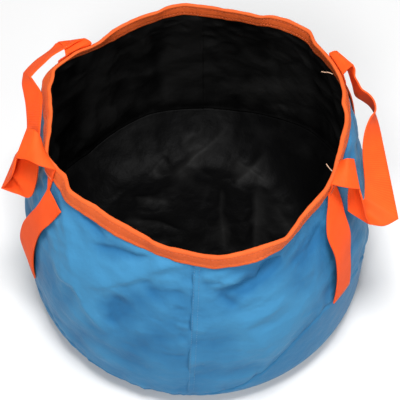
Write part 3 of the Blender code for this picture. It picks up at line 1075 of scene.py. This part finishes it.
@dataclass(frozen=True)
class Lining:
    """The black inside: two wall panels and a floor."""

    shell: Shell
    creases: Creases
    inset: float = 0.0010  # how far inside the outer face it is sewn
    slack: float = 0.0060  # how far the lining may hang away from the wall
    cloth: float = 0.00035
    cells: tuple[int, int] = (280, 110)
    panel: Spot = (0.485, 0.175)
    base_cut: float = 0.350
    floor_high: float = 0.0019
    floor_flat: float = 0.104  # the radius at which the floor starts to rise to its seam
    floor_painted_shade: float = 0.0033  # painted shade: how much lower than the wall the floor counts in the finish, so that the floor is painted darker
    seam_painted_shade: float = 0.0013  # painted shade: the same for both sides of the floor's seam, where floor and wall meet
    rounds: float = 12.0  # soft folds round the wall
    loosest: float = 150.0  # the angle at which it hangs most loosely
    tall: float = 0.19  # about the floor's reach along the cloth
    tightest: float = 0.35  # the share of the slack on the tight side
    sways: Spot = (1.2, 1.5)  # how much the folds lean up the wall, and gather round it
    creased: Spot = (-0.005, 0.003)  # how far a crease may move the lining in and out
    below_rim: float = 0.003  # where a wall panel ends under the rim
    lap_fade: Spot = (0.002, 0.010)  # how far under the tape the lap starts, and over what
    lap_from: float = 0.03  # the share of a panel that lies behind the other
    seam_fade: float = 0.25  # the share of a wall or floor over which painted shade darkens it towards their seam
    floor_round: float = 1.8  # the power by which the floor rises to its seam
    floor_sewn: float = 0.06  # the share of its reach over which the creases die out
    lying: float = 0.0008  # how high the floor lies loose of the base
    swell: tuple[float, float, float] = (14.0, 4.0, 0.0010)  # swells in a metre, seed, height
    wrinkles: tuple[tuple[float, float, float], ...] = ((17.0, 7.0, 0.0024), (42.0, 9.0, 0.0010))
    ridge: float = 0.30  # how much of a wrinkle stands up
    under: float = 0.03  # radians over which one panel runs behind the other
    lap: float = 0.0007

    @property
    def body(self) -> Body:
        """Gives the form that the lining follows."""
        return self.shell.body

    def inward(self, angle: Array, height: Array) -> Array:
        """Gives how far inside the outer face the lining lies."""
        body = self.body
        low = body.base_seam(angle)
        share = np.clip((height - low) / (body.high - body.tape_drop - low), 0.0, 1.0)
        hang = np.sin(math.pi * share)
        away = 0.5 * (angle - math.radians(self.loosest))
        loose = self.tightest + (1.0 - self.tightest) * np.cos(away) ** 2
        lean, gather = self.sways
        wave = 0.5 + 0.5 * np.sin(self.rounds * angle + lean * np.sin(3.0 * share)
                                  + gather * np.sin(2.0 * angle))
        lift = self.creases.lift(body, angle, height)
        free = self.inset + self.slack * loose * wave * hang - np.clip(lift, *self.creased)
        return np.maximum(free, self.inset - self.shell.lift(angle, height))

    def face(self, angle: Array, height: Array, over: Array | float = 0.0) -> Array:
        """Gives points of the lining's inner face, or further in than it."""
        return self.body.point(angle, height, -self.inward(angle, height) - self.cloth - over)

    def wall(self, side: Side, finishes: Finishes) -> bpy.types.Object:
        """Makes one wall panel of the lining.

        Args:
            side: which half.
            finishes: the materials.

        Returns:
            The panel.
        """
        body = self.body
        back, front = math.radians(body.back_seam), math.radians(body.seam_line[1])

        def angle_and_height(u: Array, v: Array) -> tuple[Array, Array]:
            """Gives the angles and heights for shares along and up the panel."""
            start, end = ((back + self.under, front) if side is Side.RIGHT
                          else (front + 2.0 * math.pi + self.under, back))
            angle = start + (end - start) * u
            low = body.base_seam(angle)
            return angle, low + (body.high - self.below_rim - low) * v

        def place(u: Array, v: Array) -> Array:
            """Gives the panel's points; its first edge runs behind the other panel."""
            angle, height = angle_and_height(u, v)
            start, over = self.lap_fade
            free = smooth((body.high - body.tape_drop - start - height) / over)
            return self.face(angle, height, self.lap * (u > self.lap_from) * free)

        def crest(u: Array, v: Array) -> Array:
            """Gives how far the panel's places stand in, less painted shade towards the floor seam,
            for the finish's painted highlight and painted shade.
            """
            near = 1.0 - smooth(v / self.seam_fade)
            # Painted shade: places that hang in are painted lighter, places against the wall
            # darker, and the wall darker still towards the floor seam.
            return self.inward(*angle_and_height(u, v)) - self.inset - self.seam_painted_shade * near

        piece = grid_sheet(f"lining_wall_{side.value}_cloth", self.cells, self.panel,
                           place, crest)
        thicken(piece, self.cloth)
        dress(piece, finishes.lining, Slot.LINING, f"lining_wall_{side.value}")
        return sew_to_wall(piece, body)

    def floor_wrinkle(self, angle: Array, away: Array) -> Array:
        """Gives how high the floor's creases stand at angles and distances from its middle."""
        x, y = away * np.cos(angle), away * np.sin(angle)
        level = np.stack([x, y, 0.0 * x], axis=1)
        waves, seed, high = self.swell
        soft = self.lying + soft_noise(level, waves, 2, seed) * high
        for waves, seed, high in self.wrinkles:
            soft = soft + (self.ridge - np.abs(soft_noise(level, waves, 2, seed))) * high
        drawn = sum(fold.over(x / MM, y / MM) for fold in FLOOR_FOLDS)
        return np.maximum(soft + drawn, 0.0)

    def floor(self, finishes: Finishes) -> bpy.types.Object:
        """Makes the lining's floor with its creases."""
        body = self.body

        def place(u: Array, v: Array) -> Array:
            """Gives the floor's points from its middle to its seam."""
            angle = body.front_seam(0.0) + 2.0 * math.pi * np.mod(1.0 - u, 1.0)
            edge = self.face(angle, body.base_seam(angle))
            reach = np.hypot(edge[:, 0], edge[:, 1])
            risen = np.clip((v * reach - self.floor_flat) / (reach - self.floor_flat), 0.0, 1.0)
            height = self.floor_high + (edge[:, 2] - self.floor_high) * risen ** self.floor_round
            sewn = smooth((1.0 - v) / self.floor_sewn)
            wrinkle = self.floor_wrinkle(angle, v * reach) * sewn
            return np.stack([edge[:, 0] * v, edge[:, 1] * v, height + wrinkle], axis=1)

        def crest(u: Array, v: Array) -> Array:
            """Gives how far the floor's places stand up, less painted shade over the floor and
            towards its seam, for the finish's painted highlight and painted shade.
            """
            angle = body.front_seam(0.0) + 2.0 * math.pi * np.mod(1.0 - u, 1.0)
            reach = np.hypot(*self.face(angle, body.base_seam(angle))[:, :2].T)
            risen = smooth((v - (1.0 - self.seam_fade)) / self.seam_fade)
            # Painted shade: the floor is painted darker than the wall, its wrinkles' crests
            # lighter, and the band by the seam darker.
            low = self.floor_wrinkle(angle, v * reach) - self.floor_painted_shade
            return low * (1.0 - risen) - self.seam_painted_shade * risen

        size = (2.0 * math.pi * body.belly, self.tall)
        piece = grid_sheet("lining_base_cloth", (360, 110), size, place, crest, merge=True)
        thicken(piece, self.cloth)
        dress(piece, finishes.lining, Slot.LINING, "lining_base")
        return sew_to_wall(piece, body)


@dataclass(frozen=True)
class RimTape:
    """The tape that is folded over the rim, with two stitched rows on each side."""

    body: Body
    outside: float = 0.0013  # how far its two sides lie outside the form
    inside: float = -0.0026
    thick: float = 0.0007
    cells: tuple[int, int] = (900, 30)
    cut: Spot = (0.83, 0.036)
    rows: Spot = (0.0034, 0.0104)  # how far below the top each stitched row runs
    steps: int = 1500  # places round the rim at which a row is read
    puckers: float = 130.0  # puckers in a metre, and wanderings in a metre
    wanders: float = 45.0
    dent: Spot = (0.0003, 0.0009)  # how deep a stitched row presses, and how wide
    puckered: Spot = (0.00035, 0.0003)  # the puckers' height, aside and up
    wandering: Spot = (0.0004, 0.0005)  # the same of the wanderings
    at_top: float = 0.4  # the share of the puckers at the top edge

    def lengths(self) -> tuple[float, float]:
        """Gives the section's length down one side, and from foot to foot."""
        half = 0.5 * (self.outside - self.inside)
        straight = self.body.tape_drop - half
        return straight, 2.0 * straight + math.pi * half

    def section(self, angle: Array, share: Array) -> tuple[Array, Array]:
        """Gives the section from the outer foot over the top to the inner foot.

        Args:
            angle: angles in radians.
            share: 0 at the outer foot, 1 at the inner one.

        Returns:
            How far out from the form, and the height.
        """
        body = self.body
        half = 0.5 * (self.outside - self.inside)
        middle = 0.5 * (self.outside + self.inside)
        straight, total = self.lengths()
        run = share * total
        turn = np.clip((run - straight) / half, 0.0, math.pi)
        aside = middle + half * np.cos(turn)
        drop = np.where(run < straight, straight - run,
                        np.where(run > total - straight, run - (total - straight), 0.0))
        height = body.high - half + half * np.sin(turn) - drop
        ring = np.stack([body.rim * np.cos(angle), body.rim * np.sin(angle), 0.0 * angle], axis=1)
        pucker = soft_noise(ring, self.puckers, 2, 2.0)
        wander = soft_noise(ring, self.wanders, 2, 6.0)
        low = drop / straight
        sign = np.where(share < 0.5, 1.0, -1.0)
        aside = (aside + sign * (self.puckered[0] * pucker * (self.at_top + low))
                 + self.wandering[0] * wander * (1.0 - low))
        height = (height + self.wandering[1] * wander * low
                  + self.puckered[1] * pucker * (1.0 - low))
        deep, wide = self.dent
        sewn = sum(np.exp(-((body.high - height - row) / wide) ** 2) for row in self.rows)
        aside = aside - sign * deep * sewn
        return aside, height

    def point(self, angle: Array, share: Array) -> Array:
        """Gives points of the tape's face."""
        aside, height = self.section(angle, share)
        return self.body.point(angle, height, aside)

    def build(self, finishes: Finishes) -> None:
        """Makes the tape and its stitches.

        Args:
            finishes: the materials.
        """
        tape = grid_sheet("rim_tape", self.cells, self.cut,
                          lambda u, v: self.point(2.0 * math.pi * u, v), merge=True)
        thicken(tape, self.thick)
        dress(tape, finishes.tape, Slot.TAPE, "rim_binding")
        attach(tape, "rim")
        angle = np.linspace(0.0, 2.0 * math.pi, self.steps)
        lines = []
        total = self.lengths()[1]
        for below in self.rows:
            for inner in (False, True):
                share = (self.body.tape_drop - below) / total
                share = np.full(self.steps, 1.0 - share if inner else share)
                way = -1.0 if inner else 1.0
                outward = np.stack([way * np.cos(angle), way * np.sin(angle), 0.05 + 0.0 * angle],
                                   axis=1)
                lines.append((self.point(angle, share), outward))
        stitches = Stitching().along("rim_stitches", lines)
        dress(stitches, finishes.thread, Slot.THREAD)
        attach(stitches, "rim")


@dataclass(frozen=True)
class Tail:
    """The loose end of a strap below the rim, given by its two edges."""

    name: str
    # height mm, left edge's degrees and mm off the wall, right edge's degrees and mm
    rows: tuple[tuple[float, float, float, float, float], ...]
    cut: Spot = (0.025, 0.165)
    sharp: tuple[int, ...] = ()  # the rows at which it is creased
    clear: float = 0.0010

    def place(self, shell: Shell, u: Array, v: Array) -> Array:
        """Gives points of the tail.

        Args:
            shell: the wall behind it.
            u: shares from its left to its right edge.
            v: shares from its top to its end.

        Returns:
            One row for each point.
        """
        table = carried(np.array(self.rows), v, self.sharp)
        angle = np.radians(table[:, 1] + (table[:, 3] - table[:, 1]) * u)
        off = table[:, 2] + (table[:, 4] - table[:, 2]) * u
        over = shell.lift(angle, table[:, 0] * MM) + self.clear
        return shell.body.point(angle, table[:, 0] * MM, np.maximum(off * MM, over))


@dataclass(frozen=True)
class Strap:
    """One side's webbing: handle, two sewn roots and two tails, with their rows of thread."""

    side: Side
    turn: float  # 1 where the back root lies at the greater angle, -1 where at the smaller
    rows: tuple[tuple[Point, Point], ...]  # the handle's edges between its roots, millimetres
    sharp: tuple[int, ...]  # the rows at which the handle is creased
    roots: Spot  # the back and the front root's angle in degrees
    feet: tuple[Spot, Spot]  # the angles between which each root meets its tail
    tails: tuple[Tail, Tail]
    handle_cut: float
    width: float = 0.025
    thick: float = 0.0013
    root_out: float = 0.0025  # how far outside the form the handle starts
    bends_over: float = 0.012  # metres from the hinge over which the handle starts to turn
    edge: float = 0.0003  # the webbing's rounded edge
    zigzags: int = 60  # turns of a tack's thread
    over_rim: Spot = (0.0012, 0.0011)  # how far a root and the handle's start stand over it
    clear: float = 0.0004  # the gap between a root and the tape
    spread: float = 0.8  # the power by which a root turns from its foot to its top
    tacked: Spot = (0.06, 0.94)  # the shares of the strap's width between which a tack runs
    rim_tack: Spot = (0.16, 0.08)  # a tack's middle and half height, as shares of the root
    base_tack: Spot = (0.965, 0.010)  # the same as shares of the tail

    def root_top(self, body: Body, which: int) -> Array:
        """Gives the two corners where the handle leaves a root, the outer one first."""
        half = 0.5 * self.width / body.rim * self.turn * (1.0 - 2.0 * which)
        angle = math.radians(self.roots[which]) + np.array([half, -half])
        corners = body.point(angle, np.full(2, body.high), self.root_out)
        return corners + [0.0, 0.0, self.over_rim[1]]

    def handle(self, body: Body, finishes: Finishes) -> bpy.types.Object:
        """Makes the handle.

        Args:
            body: the basin's form.
            finishes: the materials.

        Returns:
            The handle.
        """
        back, front = self.root_top(body, 0), self.root_top(body, 1)
        rows = np.concatenate([[back], np.array(self.rows) * MM, [front]])

        def place(u: Array, v: Array) -> Array:
            """Gives the handle's points from its inner to its outer edge."""
            outer, inner = (carried(rows[:, k], v, self.sharp) for k in (0, 1))
            return inner + (outer - inner) * u[:, None]

        name = f"{self.side.value}_handle"
        piece = grid_sheet(f"{name}_webbing", (8, 12 * (len(rows) - 1)),
                           (self.width, self.handle_cut), place)
        thicken(piece, self.thick, 0.0, self.edge)
        dress(piece, finishes.webbing, Slot.WEBBING, name)
        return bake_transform(piece)

    def on_root(self, which: int, tape: RimTape, u: Array, v: Array, out: float) -> Array:
        """Gives points on a root.

        Args:
            which: 0 for the back root, 1 for the front one.
            tape: the tape under it.
            u: shares along the rim.
            v: shares from the tape's foot to its top.
            out: how far outside the tape's face.

        Returns:
            One row for each point.
        """
        body = tape.body
        half = math.degrees(0.5 * self.width / body.rim)
        foot, middle = self.feet[which], self.roots[which]
        low = foot[0] + (foot[1] - foot[0]) * u
        angle = low + (middle + half * (2.0 * u - 1.0) - low) * v ** self.spread
        height = body.high - body.tape_drop + (body.tape_drop + self.over_rim[0]) * v
        return body.point(np.radians(angle), height, tape.outside + out)

    def root(self, which: int, tape: RimTape, finishes: Finishes) -> bpy.types.Object:
        """Makes a sewn root: the strap over the tape.

        Args:
            which: 0 for the back root, 1 for the front one.
            tape: the tape under it.
            finishes: the materials.

        Returns:
            The root.
        """
        drop = tape.body.tape_drop
        name = f"{self.side.value}_{('back', 'front')[which]}_root"
        piece = grid_sheet(f"{name}_webbing", (16, 12), (self.width, drop),
                           lambda u, v: self.on_root(which, tape, u, v,
                                                     0.5 * self.thick + self.clear))
        thicken(piece, self.thick, 0.0, self.edge)
        dress(piece, finishes.webbing, Slot.WEBBING, name)
        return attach(piece, "rim")

    def tail(self, which: int, shell: Shell, finishes: Finishes) -> bpy.types.Object:
        """Makes a tail.

        Args:
            which: 0 for the back tail, 1 for the front one.
            shell: the wall behind it.
            finishes: the materials.

        Returns:
            The tail.
        """
        tail = self.tails[which]
        piece = grid_sheet(f"{tail.name}_webbing", (8, 120), tail.cut,
                           lambda u, v: tail.place(shell, u, v))
        thicken(piece, self.thick, 0.0, self.edge)
        dress(piece, finishes.webbing, Slot.WEBBING, tail.name)
        return sew_to_wall(piece, shell.body)

    def tacks(self, which: int, shell: Shell, tape: RimTape, finishes: Finishes) -> None:
        """Makes the rows of thread at a root and at a tail's end.

        Args:
            which: 0 for the back, 1 for the front.
            shell: the wall.
            tape: the rim's tape.
            finishes: the materials.
        """
        body = shell.body
        tail = self.tails[which]
        key = tail.name.removesuffix("_tail")
        zigzag = Stitching(thick=0.0006, pitch=0.0010, gap=-0.0001)
        share = np.linspace(*self.tacked, self.zigzags)
        swing = np.where(np.arange(self.zigzags) % 2 == 0, -1.0, 1.0)
        middle, half = self.rim_tack
        rim = self.on_root(which, tape, share, middle + half * swing, self.thick + 0.0005)
        angle = np.arctan2(rim[:, 1] - body.back, rim[:, 0])
        facing = np.stack([np.cos(angle), np.sin(angle), 0.0 * angle], axis=1)
        piece = zigzag.along(f"{key}_rim_thread", [(rim, facing)])
        dress(piece, finishes.thread, Slot.THREAD, f"{key}_rim_tack")
        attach(piece, "rim")
        middle, half = self.base_tack
        low = tail.place(shell, share, middle + half * swing)
        turned = np.arctan2(low[:, 1], low[:, 0])
        facing = np.stack([np.cos(turned), np.sin(turned), 0.0 * turned], axis=1)
        piece = zigzag.along(f"{key}_base_thread",
                             [(low + facing * (0.5 * self.thick + 0.0001), facing)])
        dress(piece, finishes.thread, Slot.THREAD, f"{key}_base_tack")
        sew_to_wall(piece, body)

    def build(self, shell: Shell, tape: RimTape, finishes: Finishes) -> None:
        """Makes every piece of this side's strap."""
        self.handle(shell.body, finishes)
        for which in (0, 1):
            self.root(which, tape, finishes)
            self.tail(which, shell, finishes)
            self.tacks(which, shell, tape, finishes)


@dataclass(frozen=True)
class LooseThread:
    """A thread's end that stands off the rim's stitches."""

    name: str
    line: tuple[Point, ...]  # millimetres
    thick: float = 0.0008
    tip: int = 8  # the power that rounds its tips; more is blunter
    long: float = 0.012  # about its length, for the cloth map

    def build(self, finishes: Finishes) -> bpy.types.Object:
        """Makes the thread.

        Args:
            finishes: the materials.

        Returns:
            The thread.
        """
        line = np.array(self.line) * MM

        def place(u: Array, v: Array) -> Array:
            """Gives points round the thread, from one tip to the other."""
            turn = -2.0 * math.pi * u
            round_it = np.stack([0.6 * np.cos(turn), 0.8 * np.cos(turn), np.sin(turn)], axis=1)
            thin = np.sqrt(np.clip(1.0 - (2.0 * v - 1.0) ** self.tip, 0.0, 1.0))
            return carried(line, v) + 0.5 * self.thick * thin[:, None] * round_it

        piece = grid_sheet(self.name, (8, 24), (2.0 * self.thick, self.long), place,
                           merge=True)
        dress(piece, finishes.pale_thread, Slot.THREAD)
        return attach(piece, "rim")


@dataclass(frozen=True)
class Studio:
    """A plain pale floor, soft light and the camera."""

    where: Point = (0.0, -0.61235, 0.98644)
    pitch_down: float = 55.427
    lens: float = 106.2
    shift: float = 0.008
    world: float = 0.21
    sensor: float = 36.0
    floor_white: float = 0.70
    floor_half: float = 3.0  # half the floor's width
    floor_low: float = 0.0006  # how far it lies below the base
    # name, place, size and watts of each light
    lamps: tuple[tuple[str, Point, float, float], ...] = (
        ("overhead", (0.05, -0.20, 1.9), 0.5, 38.0),
        ("front", (-0.25, -1.30, 1.50), 0.4, 17.0),
        ("right", (1.5, -0.6, 0.9), 0.6, 5.0))
    aim: Point = (0.0, 0.0, 0.1)

    def build(self) -> None:
        """Sets up the floor, the lights and the camera."""
        shape = bmesh.new()
        bmesh.ops.create_grid(shape, x_segments=2, y_segments=2, size=self.floor_half,
                              matrix=Matrix.Translation((0.0, 0.0, -self.floor_low)))
        mesh = bpy.data.meshes.new("floor")
        shape.to_mesh(mesh)
        shape.free()
        floor = object_of("floor", mesh)
        nodes = Nodes("pale_floor", 0.9)
        nodes.shader.inputs["Base Color"].default_value = (*[self.floor_white] * 3, 1.0)
        nodes.shader.inputs["Specular IOR Level"].default_value = 0.0
        floor.data.materials.append(nodes.material)
        world = bpy.data.worlds.new("studio")
        world.use_nodes = True
        world.node_tree.nodes["Background"].inputs["Color"].default_value = (1.0, 1.0, 1.0, 1.0)
        world.node_tree.nodes["Background"].inputs["Strength"].default_value = self.world
        bpy.context.scene.world = world
        for lamp in self.lamps:
            self.lamp(*lamp)
        data = bpy.data.cameras.new("camera")
        data.lens, data.sensor_width, data.shift_x = self.lens, self.sensor, self.shift
        camera = bpy.data.objects.new("camera", data)
        camera.location = self.where
        camera.rotation_euler = (math.radians(90.0 - self.pitch_down), 0.0, 0.0)
        bpy.context.scene.collection.objects.link(camera)
        bpy.context.scene.camera = camera
        bpy.context.scene.view_settings.view_transform = "Standard"

    def lamp(self, name: str, place: Point, size: float, power: float) -> None:
        """Adds a square soft light that points at the basin's middle."""
        data = bpy.data.lights.new(name, "AREA")
        data.size, data.energy = size, power
        lamp = bpy.data.objects.new(name, data)
        lamp.location = place
        aim = Vector(self.aim) - Vector(place)
        lamp.rotation_euler = aim.to_track_quat("-Z", "Y").to_euler()
        bpy.context.scene.collection.objects.link(lamp)


# The handles as they hang, row by row from the back root to the front one: the edge that faces
# away from the other root, then the edge that faces it
RIGHT_HANDLE: tuple[tuple[Point, Point], ...] = (
    ((119, 78, 213), (130, 56, 215)), ((122, 79, 212), (134, 58, 218)),
    ((127, 77, 205), (136, 56, 214)), ((133, 71, 196), (136, 51, 211)),
    ((137, 59, 190), (138, 45, 211)), ((139, 49, 188), (141, 38, 210)),
    ((145, 45, 186), (146, 34, 209)), ((150, 41, 185), (150, 30, 207)),
    ((153, 38, 183), (152, 25, 205)), ((155, 34, 182), (152, 20, 202)),
    ((157, 30, 179), (148, 16, 198)), ((159, 21, 176), (144, 8, 191)),
    ((161, 10, 172), (142, -2, 183)), ((164, -9, 166), (142, -16, 176)),
    ((167, -31, 161), (143, -30, 168)), ((170, -61, 158), (142, -44, 165)),
    ((159, -65, 154), (137, -51, 160)), ((146, -66, 157), (126, -61, 171)),
    ((141, -66, 170), (125, -54, 185)), ((136, -65, 190), (127, -42, 196)),
    ((132, -61, 202), (128, -38, 212)), ((120, -65, 210), (122, -42, 218)),
)
LEFT_HANDLE: tuple[tuple[Point, Point], ...] = (
    ((-94, 91, 212), (-117, 86, 210)), ((-98, 94, 212), (-122, 96, 205)),
    ((-105, 89, 214), (-125, 98, 201)), ((-112, 83, 214), (-128, 95, 199)),
    ((-119, 79, 213), (-132, 92, 197)), ((-126, 74, 212), (-137, 89, 195)),
    ((-133, 68, 209), (-143, 85, 193)), ((-139, 62, 207), (-149, 79, 191)),
    ((-144, 55, 206), (-153, 72, 191)), ((-139, 46, 208), (-153, 59, 192)),
    ((-133, 34, 210), (-150, 45, 194)), ((-131, 20, 211), (-147, 31, 195)),
    ((-131, -6, 210), (-144, 7, 195)), ((-131, -23, 204), (-146, -7, 191)),
    ((-132, -36, 193), (-150, -19, 187)), ((-135, -40, 179), (-156, -24, 178)),
    ((-141, -44, 166), (-157, -26, 174)), ((-153, -38, 162), (-158, -17, 170)),
    ((-166, -35, 166), (-158, -12, 171)), ((-159, -36, 177), (-154, -12, 182)),
    ((-153, -38, 192), (-147, -15, 198)), ((-149, -32, 205), (-140, -10, 217)),
    ((-138, -39, 212), (-132, -18, 224)), ((-128, -46, 214), (-128, -22, 219)),
)
STRAPS = (
    Strap(Side.RIGHT, 1.0, RIGHT_HANDLE, (2, 5, 16, 18, 21), (25.5, -27.5),
          ((19.9, 31.1), (-33.4, -27.4)), (
        Tail("right_back_tail", (
            (198, 31.1, 1.5, 19.9, 1.5), (175, 32.6, 5.0, 21.8, 5.0), (150, 33.4, 7.5, 23.2, 7.0),
            (120, 33.8, 7.0, 24.2, 7.5), (95, 33.8, 4.0, 24.4, 4.0), (78, 33.6, 1.5, 24.4, 1.5))),
        Tail("right_front_tail", (
            (199, -33.2, 1.6, -27.6, 1.6), (190, -35.6, 2.6, -28.2, 3.4),
            (181, -38.8, 3.6, -28.9, 4.4), (170, -41.4, 5.6, -29.9, 4.4),
            (150, -40.8, 6.5, -30.1, 3.9), (130, -40.8, 6.0, -31.1, 2.4),
            (110, -41.0, 4.0, -31.6, 1.8), (89, -41.5, 1.4, -32.3, 1.4)), (0.025, 0.115)),
    ), 0.250),
    Strap(Side.LEFT, -1.0, LEFT_HANDLE, (2, 9, 19, 22), (144.0, -159.5),
          ((138.4, 149.6), (-158.0, -154.4)), (
        Tail("left_back_tail", (
            (198, 149.6, 1.5, 138.4, 1.5), (170, 149.6, 5.5, 139.0, 5.5),
            (140, 150.4, 7.5, 140.6, 7.0), (100, 151.8, 6.0, 142.4, 6.5),
            (65, 153.0, 3.0, 143.6, 3.0), (39, 153.2, 1.4, 144.0, 1.4))),
        Tail("left_front_tail", (
            (200, -158.0, 1.6, -154.4, 1.6), (188, -154.8, 2.6, -153.8, 2.6),
            (185, -154.6, 3.2, -144.4, 3.0), (167, -155.9, 4.6, -147.4, 3.4),
            (149, -158.8, 5.4, -150.8, 4.2), (128, -162.2, 6.5, -153.4, 3.2),
            (108, -163.6, 7.5, -154.8, 3.0), (86, -165.2, 5.5, -155.8, 2.4),
            (62, -165.5, 1.6, -157.0, 1.6)),
            (0.025, 0.150), (1, 2)),
    ), 0.285),
)
LOOSE_THREADS = (
    LooseThread("back_loose_thread", ((118, 57, 207), (114, 60, 206), (111, 61, 205),
                                      (108, 61, 206))),
    LooseThread("front_loose_thread", ((113, -50, 208), (110, -46, 207), (108, -42, 206),
                                       (106, -39, 207))),
)


def main() -> None:
    """Builds the basin and its studio."""
    logging.basicConfig(level=logging.INFO, format="%(message)s")
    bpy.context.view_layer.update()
    body = Body(high=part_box("rim_binding")[1].z)
    finishes = Finishes.make()
    back_folds = seeded_folds(11, 46, (-20.0, 195.0), (60.0, 185.0), (0.8, 2.2))
    shell = Shell(body, Creases(SHOWN_FOLDS + back_folds, OUTER_WAVES, 1.0, 0.0011, 0.0003,
                                ((-175.0, 1.0), (-155.0, 0.5), (-35.0, 0.5), (-15.0, 1.0))))
    lining_folds = LINING_FOLDS + seeded_folds(23, 40, (-180.0, 180.0), (50.0, 185.0), (0.8, 2.0))
    lining = Lining(shell, Creases(lining_folds, LINING_WAVES, 14.0, 0.0022, 0.0003))
    tape = RimTape(body)
    for side in Side:
        shell.wall(side, finishes)
        lining.wall(side, finishes)
    shell.base(finishes)
    shell.stitches(finishes)
    lining.floor(finishes)
    tape.build(finishes)
    for strap in STRAPS:
        strap.build(shell, tape, finishes)
    for thread in LOOSE_THREADS:
        thread.build(finishes)
    Studio().build()


if __name__ == "__main__":
    main()
